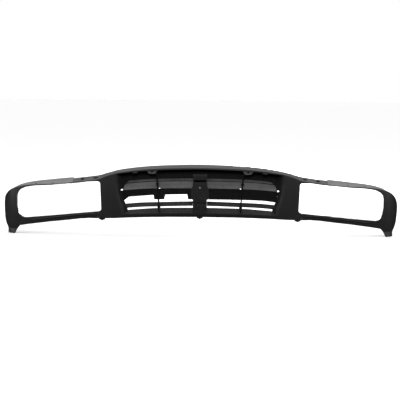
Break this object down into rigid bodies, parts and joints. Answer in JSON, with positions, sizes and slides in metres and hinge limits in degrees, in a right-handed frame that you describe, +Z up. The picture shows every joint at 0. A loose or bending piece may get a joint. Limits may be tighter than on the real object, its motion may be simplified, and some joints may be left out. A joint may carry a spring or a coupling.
{
  "type": "grille shell panel",
  "caption": "Curved front panel of a small pickup: grille shell with headlamp surrounds, a louvred air intake and an emblem mount.",
  "frame": {"origin": "centre of the bounding box in plan, at the height of the tips of the two legs", "axes": "+X across the vehicle, along the panel's length, positive at the right as seen from in front; -Y is forward, out of the grille; +Z is up. Left and right in node names are as seen from in front."},
  "size_m": [1.5032, 0.2551, 0.2714],
  "materials": {
    "shell": "satin black moulding with light dust on its upper faces",
    "surround": "satin black moulding with light dust on its upper faces",
    "insert": "plain black moulding",
    "blade": "fine-grained black moulding",
    "divider": "fine-grained black moulding",
    "emblem_mount": "black moulding with upright ribs",
    "screw": "zinc-plated, slightly dulled",
    "ear": "phosphated spring steel",
    "clip": "black nylon",
    "nut": "phosphated spring steel"
  },
  "bodies": {
    "root": {"centre_shell": "shell", "left_headlamp_surround": "surround", "right_headlamp_surround": "surround", "insert_frame": "insert", "crossbar_left": "blade", "crossbar_right": "blade", "lower_louvre_left": "blade", "lower_louvre_right": "blade", "divider_left": "divider", "divider_right": "divider", "emblem_mount": "emblem_mount", "emblem_mount_screw": "screw", "insert_screws_upper": "screw", "insert_screws_lower": "screw", "surround_screws_left": "screw", "surround_screws_right": "screw", "spring_nut_ear_left": "ear", "spring_nut_ear_right": "ear", "lower_clip_left": "clip", "lower_clip_centre": "clip", "lower_clip_right": "clip", "foot_spring_nut_left": "nut", "foot_spring_nut_right": "nut"}
  },
  "joints": []
}
